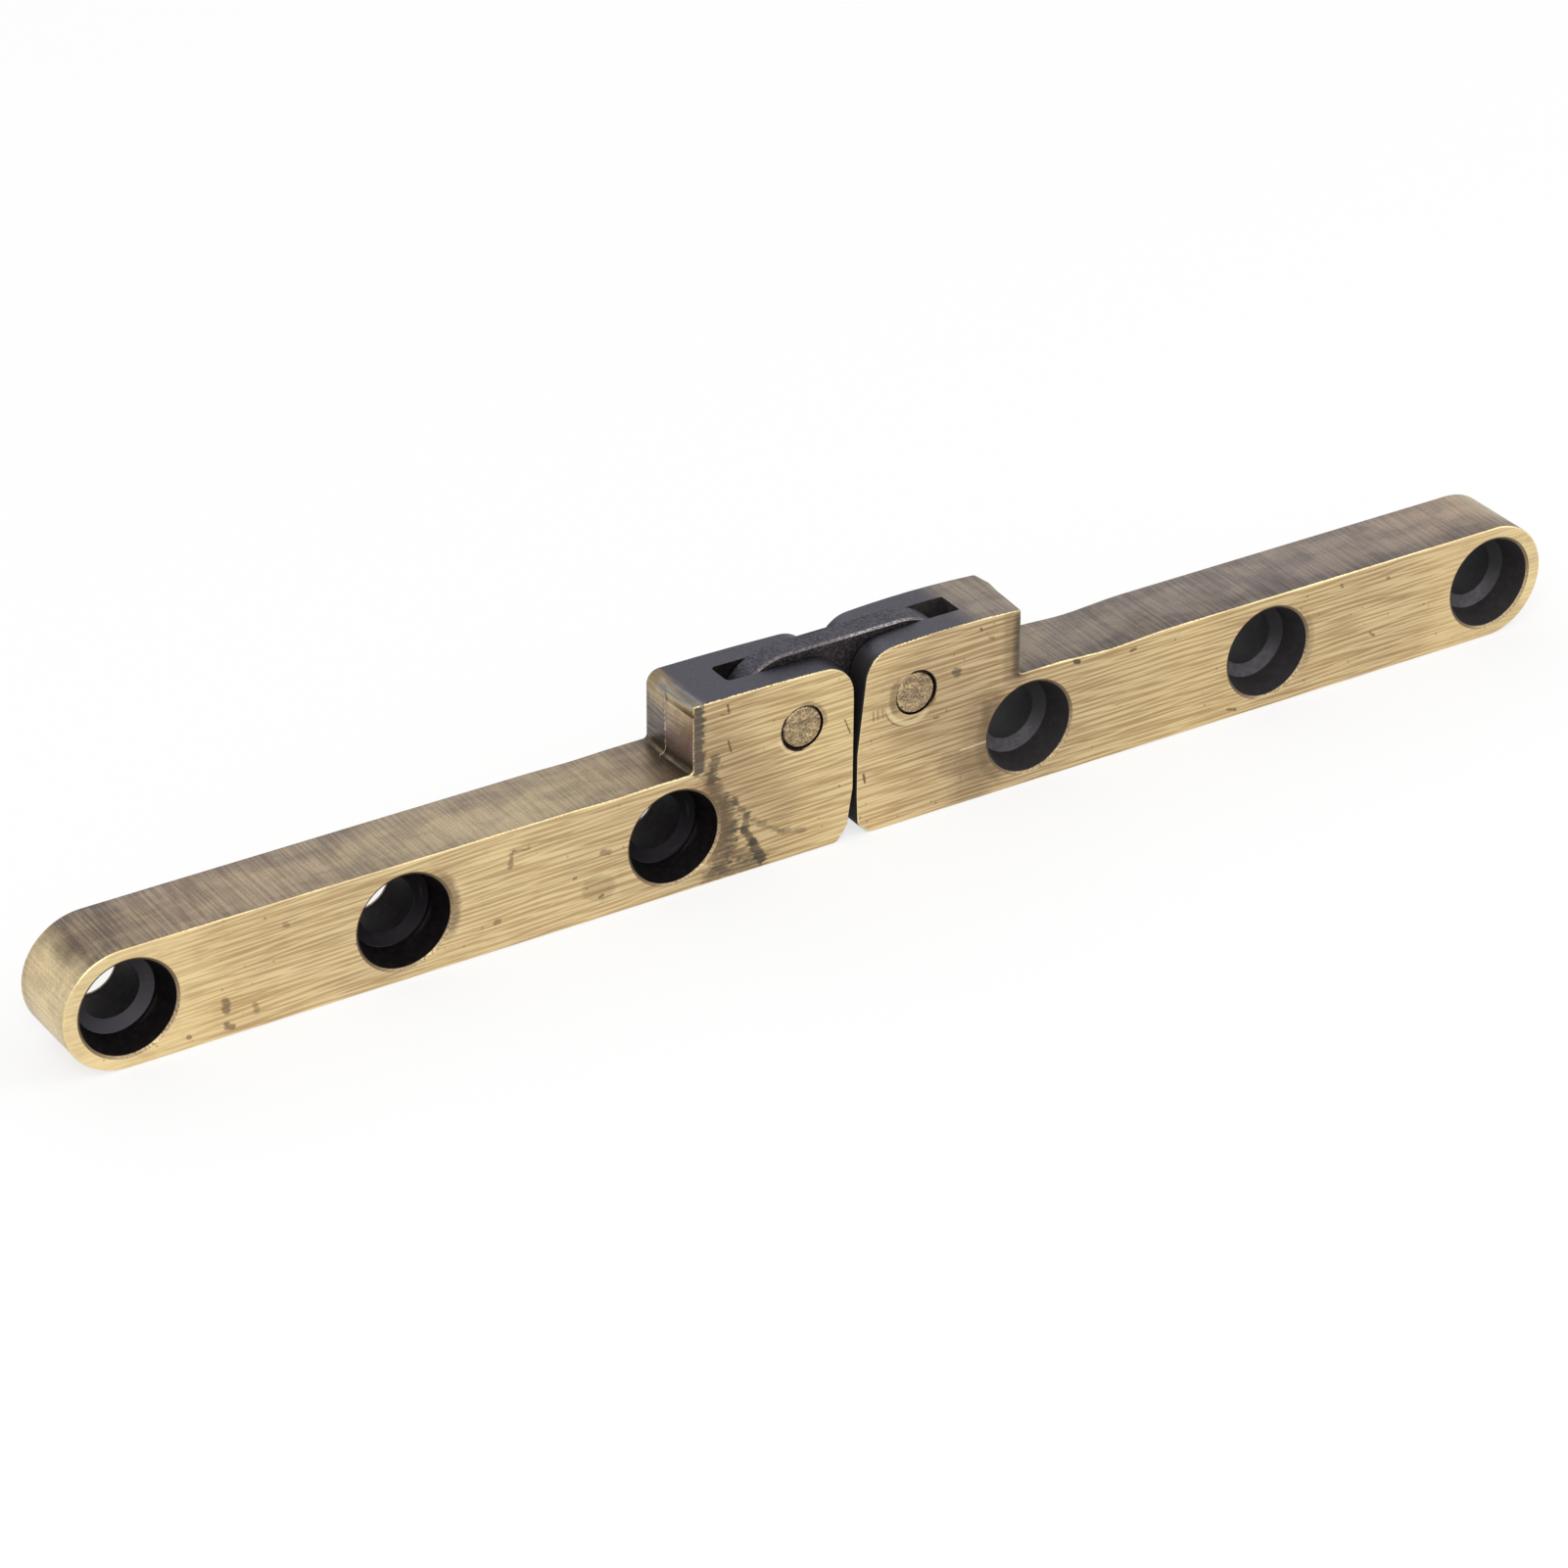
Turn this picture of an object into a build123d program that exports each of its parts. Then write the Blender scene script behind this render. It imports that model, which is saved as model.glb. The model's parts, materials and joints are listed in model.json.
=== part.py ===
from build123d import *
from dataclasses import dataclass
from math import radians, tan
import os

# A double-pivot flap hinge that is let into the edge of a folding top.
# Two cast brass leaves meet end to end, and a flat two-eyed link joins them
# through a slot in the raised knuckle block at the inner end of each leaf.
# Millimetres. X runs along the hinge with 0 at the joint between the leaves,
# Y runs through its depth with the screw heads at the front on -Y,
# Z is up with 0 on the underside.

# Leaves as a pair
joint_gap = 0.30            # daylight between the inner ends of the open leaves
leaf_depth = 7.7            # front face to back face
bar_height = 11.2
leaf_length = 75.25         # inner end to the tip of the rounded bar

# Knuckle block
block_height = 17.6         # underside to the highest corner of the outer end
block_foot_radius = 0.4     # where the block stands on the bar

# Screw holes, tapered recesses with a conical seat
first_screw = 18.2          # joint plane to the hole under the block's outer end
tip_margin = 5.9            # tip of the bar to the last hole
middle_offset = 0.35        # middle hole, past half way towards the tip
recess_mouth_radius = 4.4
recess_floor_radius = 3.6
recess_depth = 2.6
seat_drop = 0.7             # height of the cone below the recess
screw_hole_radius = 2.6

# Pivots and link
pin_height = 12.5           # pin centre above the underside
pin_radius = 1.95
cheek_clearance = 0.10      # radial, round the pins in the cheeks of the blocks
eye_clearance = 0.06        # radial, round the pins in the eyes of the link
pin_end_recess = 0.05       # pin end below the face of the leaf
pin_end_chamfer = 0.15
link_eye_radius = 5.9
link_thickness = 2.5
link_edge_chamfer = 0.20
slot_side_clearance = 0.15
slot_end_clearance = 0.15
slot_floor_clearance = 0.30

# Broken edges
front_edge_radius = 0.22    # outline of the front face
back_edge_chamfer = 0.20    # outline of the back face
mouth_chamfer = 0.18        # mouths of the screw recesses


@dataclass(frozen=True)
class KnuckleEnd:
    """Outline of a knuckle block at the joint, seen from the front.

    Lengths and setbacks are measured from the inner end, heights from the
    underside, and the drops of the shoulder and the outer end from the height
    of the block. The inner face leans back along the top stretch of its height.
    The crown rises from the line between shoulder and outer end. The outer end
    is drafted, in degrees, from the parting line to each face. That line is
    set back from mid depth by its offset. The hollow is where the top of the
    bar has been ground down.
    """

    block_length: float
    block_draft: float
    parting_offset: float
    crest_radius: float
    pin_setback: float
    toe_setback: float
    heel_setback: float
    heel_height: float
    heel_radius: float
    face_foot: float
    lean_stretch: float
    shoulder_setback: float
    shoulder_drop: float
    shoulder_radius: float
    crown_rise: float
    outer_drop: float
    slot_corner_radius: float
    hollow_start: float
    hollow_length: float
    hollow_drop: float


# The left block stands square, and its underside is eased
left_end = KnuckleEnd(
    block_length=16.4,
    block_draft=3.0,
    parting_offset=0.3,
    crest_radius=1.2,
    pin_setback=5.25,
    toe_setback=1.6,
    heel_setback=0.55,
    heel_height=1.4,
    heel_radius=0.8,
    face_foot=5.0,
    lean_stretch=3.8,
    shoulder_setback=0.1,
    shoulder_drop=0.3,
    shoulder_radius=3.1,
    crown_rise=0.1,
    outer_drop=0.0,
    slot_corner_radius=0.5,
    hollow_start=3.0,
    hollow_length=9.0,
    hollow_drop=0.08,
)

# The right block leans back from below the pin, and its top is crowned
right_end = KnuckleEnd(
    block_length=17.7,
    block_draft=8.5,
    parting_offset=2.1,
    crest_radius=0.8,
    pin_setback=5.95,
    toe_setback=1.4,
    heel_setback=0.12,
    heel_height=1.2,
    heel_radius=0.8,
    face_foot=4.0,
    lean_stretch=9.5,
    shoulder_setback=1.05,
    shoulder_drop=0.1,
    shoulder_radius=3.0,
    crown_rise=0.35,
    outer_drop=0.1,
    slot_corner_radius=0.2,
    hollow_start=2.7,
    hollow_length=12.5,
    hollow_drop=0.28,
)

half_gap = joint_gap / 2
half_depth = leaf_depth / 2
bar_radius = bar_height / 2
bar_end = half_gap + leaf_length - bar_radius
slot_width = link_thickness + 2 * slot_side_clearance
slot_floor = pin_height - link_eye_radius - slot_floor_clearance
last_screw = half_gap + leaf_length - tip_margin
middle_screw = (first_screw + last_screw) / 2 + middle_offset
left_pin_x = -(half_gap + left_end.pin_setback)
right_pin_x = half_gap + right_end.pin_setback


def leaf(side: int, end: KnuckleEnd) -> Part:
    """One leaf, with side -1 for the left and +1 for the right."""

    def at(distance: float, height: float) -> tuple:
        return (side * distance, height)

    toe = at(half_gap + end.toe_setback, 0)
    heel = at(half_gap + end.heel_setback, end.heel_height)
    face_foot = at(half_gap, end.face_foot)
    block_outer = half_gap + end.block_length
    shoulder_height = block_height - end.shoulder_drop
    lean_start = at(half_gap, shoulder_height - end.lean_stretch)
    shoulder = at(half_gap + end.shoulder_setback, shoulder_height)
    outer_height = block_height - end.outer_drop
    outer_top = at(block_outer, outer_height)
    crown_height = (shoulder_height + outer_height) / 2 + end.crown_rise
    crown = at((half_gap + block_outer) / 2, crown_height)
    pin_x = side * (half_gap + end.pin_setback)
    slot_end = half_gap + end.pin_setback + link_eye_radius + slot_end_clearance
    above_block = 2 * crown_height

    with BuildPart() as body:
        # Knuckle block: its outline from the front, through the whole depth
        with BuildSketch(Plane.XZ) as outline:
            with BuildLine():
                Polyline(shoulder, lean_start, face_foot, heel, toe, at(block_outer, 0), outer_top)
                ThreePointArc(outer_top, crown, shoulder)
            make_face()
            shoulder_corner = outline.vertices().sort_by_distance(shoulder)[0]
            fillet(shoulder_corner, radius=end.shoulder_radius)
            for corner in (heel, toe):
                fillet(outline.vertices().sort_by_distance(corner)[0], radius=end.heel_radius)
        extrude(amount=half_depth, both=True)

        # Its outer end is drafted both ways from the parting line
        draft_slope = tan(radians(end.block_draft))
        front_setback = (half_depth + end.parting_offset) * draft_slope
        back_setback = (half_depth - end.parting_offset) * draft_slope
        with BuildSketch(Plane.XY):
            with BuildLine():
                Polyline(
                    at(0, half_depth),
                    at(0, -half_depth),
                    at(block_outer - front_setback, -half_depth),
                    at(block_outer, end.parting_offset),
                    at(block_outer - back_setback, half_depth),
                    close=True,
                )
            make_face()
        extrude(amount=above_block, mode=Mode.INTERSECT)
        level_edges = body.edges().filter_by(Axis.Z, reverse=True)
        crest = level_edges.sort_by_distance((side * block_outer, end.parting_offset, outer_height))[:2]
        fillet(crest, radius=end.crest_radius)

        # Bar with a round tip, its top ground hollow beyond the block
        hollow_start = block_outer + end.hollow_start
        hollow_end = hollow_start + end.hollow_length
        hollow_middle = (hollow_start + hollow_end) / 2
        with BuildSketch(Plane.XZ):
            with BuildLine():
                ThreePointArc(
                    at(bar_end, 0),
                    at(bar_end + bar_radius, bar_radius),
                    at(bar_end, bar_height),
                )
                Line(at(bar_end, bar_height), at(hollow_end, bar_height))
                Spline(
                    at(hollow_end, bar_height),
                    at(hollow_middle, bar_height - end.hollow_drop),
                    at(hollow_start, bar_height),
                    tangents=[at(-1, 0), at(-1, 0)],
                )
                Polyline(
                    at(hollow_start, bar_height),
                    at(block_outer / 2, bar_height),
                    at(block_outer / 2, 0),
                    at(bar_end, 0),
                )
            make_face()
        extrude(amount=half_depth, both=True)

        # Fillet where the block stands on the bar
        level_edges = body.edges().filter_by(Axis.Z, reverse=True)
        foot = level_edges.sort_by_distance((side * block_outer, end.parting_offset, bar_height))[:2]
        fillet(foot, radius=block_foot_radius)

        # Break the outlines of the front and back faces
        fillet(body.faces().sort_by(Axis.Y)[0].edges(), radius=front_edge_radius)
        chamfer(body.faces().sort_by(Axis.Y)[-1].edges(), length=back_edge_chamfer)

        # Slot for the link, open upwards and towards the other leaf
        with BuildSketch(Plane.XZ):
            with BuildLine():
                Polyline(
                    at(-block_outer, slot_floor),
                    at(slot_end, slot_floor),
                    at(slot_end, above_block),
                    at(-block_outer, above_block),
                    close=True,
                )
            make_face()
        extrude(amount=slot_width / 2, both=True, mode=Mode.SUBTRACT)
        for cheek in (-slot_width / 2, slot_width / 2):
            corner = body.edges().sort_by_distance((side * slot_end, cheek, pin_height))[0]
            fillet(corner, radius=end.slot_corner_radius)

        # Pin hole through both cheeks
        with BuildSketch(Plane.XZ):
            with Locations((pin_x, pin_height)):
                Circle(pin_radius + cheek_clearance)
        extrude(amount=leaf_depth, both=True, mode=Mode.SUBTRACT)

        # Screw recesses: broken mouth, tapered wall, conical seat and a clear hole to the back
        wall_slope = (recess_mouth_radius - recess_floor_radius) / recess_depth
        for distance in (first_screw, middle_screw, last_screw):
            hole_x = side * distance
            with BuildSketch(Plane.XY.offset(bar_radius)):
                with BuildLine():
                    Polyline(
                        (hole_x, -half_depth),
                        (hole_x + recess_mouth_radius + mouth_chamfer, -half_depth),
                        (hole_x + recess_mouth_radius - mouth_chamfer * wall_slope, -half_depth + mouth_chamfer),
                        (hole_x + recess_floor_radius, -half_depth + recess_depth),
                        (hole_x + screw_hole_radius, -half_depth + recess_depth + seat_drop),
                        (hole_x + screw_hole_radius, half_depth),
                        (hole_x, half_depth),
                        close=True,
                    )
                make_face()
            axis = Axis((hole_x, 0, bar_radius), (0, 1, 0))
            revolve(axis=axis, mode=Mode.SUBTRACT)

    return body.part


def link() -> Part:
    """The two-eyed link that both pins pass through."""
    with BuildPart() as body:
        with BuildSketch(Plane.XZ):
            with Locations(((left_pin_x + right_pin_x) / 2, pin_height)):
                SlotCenterToCenter(right_pin_x - left_pin_x, 2 * link_eye_radius)
            with Locations((left_pin_x, pin_height), (right_pin_x, pin_height)):
                Circle(pin_radius + eye_clearance, mode=Mode.SUBTRACT)
        extrude(amount=link_thickness / 2, both=True)
        faces = body.faces().sort_by(Axis.Y)
        outlines = faces[0].outer_wire().edges() + faces[-1].outer_wire().edges()
        chamfer(outlines, length=link_edge_chamfer)
    return body.part


def pin(pin_x: float) -> Part:
    """A plain pin that ends just below both faces of its leaf."""
    with BuildPart() as body:
        with BuildSketch(Plane.XZ):
            with Locations((pin_x, pin_height)):
                Circle(pin_radius)
        extrude(amount=half_depth - pin_end_recess, both=True)
        chamfer(body.edges().filter_by(GeomType.CIRCLE), length=pin_end_chamfer)
    return body.part


pieces = {
    "left_leaf": leaf(-1, left_end),
    "right_leaf": leaf(1, right_end),
    "link": link(),
    "left_pin": pin(left_pin_x),
    "right_pin": pin(right_pin_x),
}
os.makedirs("parts", exist_ok=True)
for name, piece in pieces.items():
    piece.label = name
    export_step(piece, f"parts/{name}.step")
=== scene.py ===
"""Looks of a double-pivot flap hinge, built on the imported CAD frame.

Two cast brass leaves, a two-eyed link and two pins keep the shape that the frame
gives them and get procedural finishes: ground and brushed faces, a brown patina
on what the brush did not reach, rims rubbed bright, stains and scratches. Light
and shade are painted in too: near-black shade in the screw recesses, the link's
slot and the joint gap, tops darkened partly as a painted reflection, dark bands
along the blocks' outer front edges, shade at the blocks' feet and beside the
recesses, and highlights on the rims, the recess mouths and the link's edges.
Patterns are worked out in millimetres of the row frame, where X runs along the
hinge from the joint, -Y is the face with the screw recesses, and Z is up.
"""

import json
import logging
import math
from dataclasses import dataclass, fields
from enum import Enum
from typing import Union

import bpy
import numpy as np
from mathutils import Matrix, Vector

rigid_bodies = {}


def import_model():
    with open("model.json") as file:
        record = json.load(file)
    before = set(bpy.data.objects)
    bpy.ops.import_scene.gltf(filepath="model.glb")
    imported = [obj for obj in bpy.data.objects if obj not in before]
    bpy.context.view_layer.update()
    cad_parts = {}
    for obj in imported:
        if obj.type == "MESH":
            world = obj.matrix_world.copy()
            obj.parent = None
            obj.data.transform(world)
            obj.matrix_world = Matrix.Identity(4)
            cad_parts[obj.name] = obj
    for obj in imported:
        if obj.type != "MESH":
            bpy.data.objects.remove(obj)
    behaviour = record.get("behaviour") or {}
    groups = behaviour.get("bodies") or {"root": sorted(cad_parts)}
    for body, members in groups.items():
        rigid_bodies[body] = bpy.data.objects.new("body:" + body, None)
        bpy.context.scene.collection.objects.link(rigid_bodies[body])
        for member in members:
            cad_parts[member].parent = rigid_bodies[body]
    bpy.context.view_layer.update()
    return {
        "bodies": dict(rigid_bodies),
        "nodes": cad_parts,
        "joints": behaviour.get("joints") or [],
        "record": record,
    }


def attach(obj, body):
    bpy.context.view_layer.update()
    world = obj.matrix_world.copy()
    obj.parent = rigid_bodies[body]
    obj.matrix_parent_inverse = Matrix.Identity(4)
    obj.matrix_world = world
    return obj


log = logging.getLogger("flap_hinge")

MM = 0.001
WHITE = (1.0, 1.0, 1.0, 1.0)
FLAT = (1.0, 0.0, 1.0)

Point = tuple[float, float]
Triple = tuple[float, float, float]
Colour = tuple[int, int, int]
Tones = tuple[tuple[float, Colour], ...]
Value = Union["Signal", float, Triple]


def shade(colour: Colour) -> tuple[float, float, float, float]:
    """Turn a colour as seen on a screen into linear light.

    Args:
        colour: Its red, green and blue parts, 0 to 255.

    Returns:
        The linear colour with an alpha of 1.
    """
    parts = (part / 255 for part in colour)
    linear = (part / 12.92 if part <= 0.04045 else ((part + 0.055) / 1.055) ** 2.4 for part in parts)
    return (*linear, 1.0)


class Signal:
    """A number, vector, colour or shader that comes out of a node.

    Arithmetic on numbers adds Math nodes. On masks, * means both, | means either
    and ~ turns the mask round.
    """

    def __init__(self, tree: "Tree", socket: bpy.types.NodeSocket) -> None:
        """Keep the socket together with its tree."""
        self.tree = tree
        self.socket = socket

    def __add__(self, other: Value) -> "Signal":
        """Add a number."""
        return self.tree.math("ADD", self, other)

    def __sub__(self, other: Value) -> "Signal":
        """Take a number away."""
        return self.tree.math("SUBTRACT", self, other)

    def __rsub__(self, other: Value) -> "Signal":
        """Be taken away from a number."""
        return self.tree.math("SUBTRACT", other, self)

    def __mul__(self, other: Value) -> "Signal":
        """Multiply by a number."""
        return self.tree.math("MULTIPLY", self, other)

    def __truediv__(self, other: Value) -> "Signal":
        """Divide by a number."""
        return self.tree.math("DIVIDE", self, other)

    def __or__(self, other: Value) -> "Signal":
        """Take the larger one."""
        return self.tree.math("MAXIMUM", self, other)

    def __abs__(self) -> "Signal":
        """Drop the sign."""
        return self.tree.math("ABSOLUTE", self)

    def __invert__(self) -> "Signal":
        """Turn a mask round, 1 minus its value."""
        return self.tree.math("SUBTRACT", 1.0, self, clamp=True)

    def ease(self, low: float, high: float) -> "Signal":
        """Rise smoothly from 0 at low to 1 at high, or fall where low is the larger."""
        ends = (high, low, 1.0, 0.0) if low > high else (low, high, 0.0, 1.0)
        names = ("From Min", "From Max", "To Min", "To Max")
        inputs = {"Value": self, **dict(zip(names, ends))}
        return self.tree.put("MapRange", inputs, "Result", interpolation_type="SMOOTHSTEP")

    def band(self, start: float, full: float, fall: float, end: float) -> "Signal":
        """Make a mask that is 1 from full to fall and fades out towards start and end."""
        return self.ease(start, full) * self.ease(end, fall)

    def waver(self, noise: "Signal", amount: float) -> "Signal":
        """Push the number up and down by noise from 0 to 1."""
        return self + (noise - 0.5) * amount

    def coat(self, *layers: tuple["Signal", Union["Signal", Colour]]) -> "Signal":
        """Lay colours over this one, one after the other, each where its mask says."""
        colour = self
        for mask, over in layers:
            colour = self.tree.blend(mask, colour, over)
        return colour


class Tree:
    """Short-hand for adding and joining the nodes of one shader node tree."""

    def __init__(self, tree: bpy.types.NodeTree) -> None:
        """Start from an empty tree."""
        self.tree = tree
        tree.nodes.clear()

    def add(self, kind: str, **settings: object) -> bpy.types.Node:
        """Add a node.

        Args:
            kind: The node's type name without its "ShaderNode" or "Node" start.
            **settings: Properties of the node to set.

        Returns:
            The new node.
        """
        prefix = "Node" if kind.startswith("Group") and kind != "Group" else "ShaderNode"
        node = self.tree.nodes.new(prefix + kind)
        for name, value in settings.items():
            setattr(node, name, value)
        return node

    def feed(self, node: bpy.types.Node, inputs: dict[Union[str, int], Value]) -> None:
        """Join inputs of a node to signals, or give them constants."""
        for name, value in inputs.items():
            if isinstance(value, Signal):
                self.tree.links.new(value.socket, node.inputs[name])
            else:
                node.inputs[name].default_value = value

    def put(
        self, kind: str, inputs: dict[Union[str, int], Value], output: Union[str, int] = 0, **settings: object
    ) -> Signal:
        """Add a node, feed its inputs and take one of its outputs."""
        node = self.add(kind, **settings)
        self.feed(node, inputs)
        return Signal(self, node.outputs[output])

    def outputs(self, node: bpy.types.Node) -> dict[str, Signal]:
        """Take all outputs of a node by their names."""
        return {socket.name: Signal(self, socket) for socket in node.outputs}

    def math(self, operation: str, *values: Value, clamp: bool = False) -> Signal:
        """Work out one number from others with a Math node."""
        return self.put("Math", dict(enumerate(values)), operation=operation, use_clamp=clamp)

    def vector(self, operation: str, *values: Value) -> Signal:
        """Work out a vector, or its length or dot product, with a Vector Math node."""
        output = "Value" if operation in ("LENGTH", "DOT_PRODUCT", "DISTANCE") else "Vector"
        return self.put("VectorMath", dict(enumerate(values)), output, operation=operation)

    def scale(self, vector: Value, factor: Value) -> Signal:
        """Multiply a vector by a number."""
        return self.put("VectorMath", {0: vector, "Scale": factor}, "Vector", operation="SCALE")

    def parts(self, vector: Value) -> tuple[Signal, ...]:
        """Split a vector into its three numbers."""
        node = self.add("SeparateXYZ")
        self.feed(node, {0: vector})
        return tuple(self.outputs(node).values())

    def combine(self, x: Value = 0.0, y: Value = 0.0, z: Value = 0.0) -> Signal:
        """Make a vector of three numbers."""
        return self.put("CombineXYZ", {"X": x, "Y": y, "Z": z})

    def blend(self, mask: Value, *colours: Union[Signal, Colour]) -> Signal:
        """Go from the first colour to the second where the mask says."""
        under, over = (c if isinstance(c, Signal) else shade(c) for c in colours)
        return self.put("Mix", {0: mask, 6: under, 7: over}, 2, data_type="RGBA", clamp_factor=True)

    def ramp(self, value: Value, stops: Tones) -> Signal:
        """Turn a number from 0 to 1 into a colour along given stops."""
        node = self.add("ValToRGB")
        self.feed(node, {0: value})
        elements = node.color_ramp.elements
        while len(elements) < len(stops):
            elements.new(0.5)
        for element, (place, colour) in zip(elements, stops):
            element.position = place
            element.color = shade(colour)
        return Signal(self, node.outputs["Color"])

    def noise(self, position: Value, detail: float = 2.0, roughness: float = 0.5) -> Signal:
        """Smooth noise, 0 to 1, with one swell to each unit of the position."""
        inputs = {"Vector": position, "Scale": 1.0, "Detail": detail, "Roughness": roughness}
        return self.put("TexNoise", inputs, "Fac")

    def use(self, group: bpy.types.NodeTree, **values: Value) -> dict[str, Signal]:
        """Place a node group, naming its inputs with underscores for spaces."""
        node = self.add("Group", node_tree=group)
        self.feed(node, {name.replace("_", " "): value for name, value in values.items()})
        return self.outputs(node)

    def relief(self, height: Value, strength: float, depth: float) -> Signal:
        """A normal bent by a height from 0 to 1, over a depth in millimetres."""
        return self.put("Bump", {"Strength": strength, "Distance": depth * MM, "Height": height}, "Normal")


class Effects:
    """The shader node groups that the finishes share, each built once."""

    VECTORS = ("Position", "Stretch", "Start", "Reach", "Centre", "Facing", "Offset")

    def __init__(self) -> None:
        """Build every group."""
        self.brush_marks = self._brush_marks()
        self.stroke = self._stroke()
        self.arc = self._arc()
        self.nearest_recess = self._nearest_recess()
        self.tarnish = self._tarnish()

    def _group(self, name: str, inputs: tuple[str, ...], outputs: tuple[str, ...]) -> tuple:
        """Start a group, whose sockets are vectors if VECTORS names them, or else numbers.

        Returns:
            The group, its Tree, what its inputs give and its output node.
        """
        group = bpy.data.node_groups.new(name, "ShaderNodeTree")
        for direction, labels in (("INPUT", inputs), ("OUTPUT", outputs)):
            for label in labels:
                kind = "NodeSocketVector" if label in self.VECTORS else "NodeSocketFloat"
                group.interface.new_socket(name=label, in_out=direction, socket_type=kind)
        tree = Tree(group)
        return group, tree, tree.outputs(tree.add("GroupInput")), tree.add("GroupOutput")

    def _brush_marks(self) -> bpy.types.NodeTree:
        """Long fine lines left by an abrasive belt.

        Noise is read from a position squeezed along the brushing and stretched
        across it, after a slow wander has bowed the lines a little. The lines are
        the difference of two readings half a swell apart, which leaves only the
        fine part. Two coarser pairs, one rising and one falling slightly, cross
        the first. The streaks and the bands are plain noise at coarser steps.
        """
        group, tree, given, result = self._group(
            "brush marks", ("Position", "Stretch", "Bow"), ("Lines", "Streaks", "Bands")
        )
        wander = tree.noise(tree.scale(given["Position"], 0.09), detail=1.0) - 0.5
        bowed = tree.vector("ADD", given["Position"], tree.scale((1.0, 1.0, 1.0), wander * given["Bow"]))
        squeezed = tree.vector("MULTIPLY", bowed, given["Stretch"])
        along_x, along_y, _ = tree.parts(squeezed)
        lean = tree.combine(x=along_y, z=along_x)
        rising = tree.scale(tree.vector("ADD", squeezed, lean), 0.88)
        falling = tree.scale(tree.vector("SUBTRACT", squeezed, lean), 0.72)
        pairs = []
        for reading in (squeezed, rising, falling):
            beside = tree.noise(tree.vector("ADD", reading, (0.2, 0.0, 0.5)), detail=0.0)
            pairs.append(tree.noise(reading, detail=0.0) - beside)
        tree.feed(result, {
            "Lines": (pairs[0] + pairs[1] + pairs[2]).ease(-0.34, 0.34),
            "Streaks": tree.noise(tree.scale(squeezed, 0.42), detail=1.0).ease(0.36, 0.64),
            "Bands": tree.noise(tree.scale(squeezed, 0.14), detail=2.0).ease(0.34, 0.66),
        })
        return group

    @staticmethod
    def _faded(tree: Tree, given: dict[str, Signal], distance: Signal) -> Signal:
        """Make a mask that is 1 within the half width and fades over the softness."""
        beyond = distance + given["Fray"] - given["Half Width"]
        return tree.math("DIVIDE", beyond, given["Softness"], clamp=True).ease(1.0, 0.0)

    def _stroke(self) -> bpy.types.NodeTree:
        """A mark along a straight stretch of a face.

        The mask is 1 within a half width of the line from start to end, seen
        along Y, and fades over the softness. The fray pushes its edge about.
        """
        group, tree, given, result = self._group(
            "stroke", ("Position", "Start", "Reach", "Half Width", "Softness", "Fray"), ("Mask",)
        )
        reach = given["Reach"]
        flat = tree.vector("MULTIPLY", tree.vector("SUBTRACT", given["Position"], given["Start"]), FLAT)
        along, whole = (tree.vector("DOT_PRODUCT", way, reach) for way in (flat, reach))
        nearest = tree.scale(reach, tree.math("DIVIDE", along, whole, clamp=True))
        tree.feed(result, {"Mask": self._faded(tree, given, tree.vector("DISTANCE", flat, nearest))})
        return group

    def _arc(self) -> bpy.types.NodeTree:
        """A mark along part of a ring on a face.

        The mask is 1 within a half width of the ring, seen along Y, and fades
        over the softness. It is on where the way from the centre leans at least
        by the cosine "Spread" towards the facing direction.
        """
        inputs = ("Position", "Centre", "Facing", "Radius", "Spread", "Half Width", "Softness", "Fray")
        group, tree, given, result = self._group("arc", inputs, ("Mask",))
        flat = tree.vector("MULTIPLY", tree.vector("SUBTRACT", given["Position"], given["Centre"]), FLAT)
        radius = tree.vector("LENGTH", flat)
        ring = self._faded(tree, given, abs(radius - given["Radius"]))
        lean = tree.vector("DOT_PRODUCT", flat, given["Facing"]) / radius
        tree.feed(result, {"Mask": ring * (lean - given["Spread"]).ease(0.0, 0.25)})
        return group

    def _nearest_recess(self) -> bpy.types.NodeTree:
        """How far a point is from the axis of the nearest screw hole, and on which side.

        The three axes stand at given distances from the joint, so the mirrored
        distance picks the nearest one. The offset is the point minus that axis.
        """
        group, tree, given, result = self._group(
            "nearest recess", ("Position", "First", "Middle", "Last", "Height"), ("Radius", "Offset")
        )
        x, _, z = tree.parts(given["Position"])
        out = abs(x)
        axis = given["First"]
        for inner, outer in (("First", "Middle"), ("Middle", "Last")):
            past = tree.math("GREATER_THAN", out, (given[inner] + given[outer]) * 0.5)
            axis = axis + past * (given[outer] - axis)
        offset = tree.combine(x=(out - axis) * tree.math("SIGN", x), z=z - given["Height"])
        tree.feed(result, {"Radius": tree.vector("LENGTH", offset), "Offset": offset})
        return group

    def _tarnish(self) -> bpy.types.NodeTree:
        """Uneven patina: soft clouds a few millimetres across, and pin-prick specks."""
        group, tree, given, result = self._group(
            "tarnish", ("Position", "Cloud Size"), ("Clouds", "Specks", "Grain")
        )
        position = given["Position"]
        spacing = tree.math("DIVIDE", 1.0, given["Cloud Size"])
        pits = tree.put("TexVoronoi", {"Vector": position, "Scale": 0.9}, "Distance", feature="F1")
        chosen = tree.noise(tree.scale(position, 0.35), 1.0).ease(0.52, 0.62)
        tree.feed(result, {
            "Clouds": tree.noise(tree.scale(position, spacing), 3.0, 0.55).ease(0.3, 0.7),
            "Specks": pits.ease(0.16, 0.06) * chosen,
            "Grain": tree.noise(tree.scale(position, 5.0), 2.0, 0.7),
        })
        return group


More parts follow.
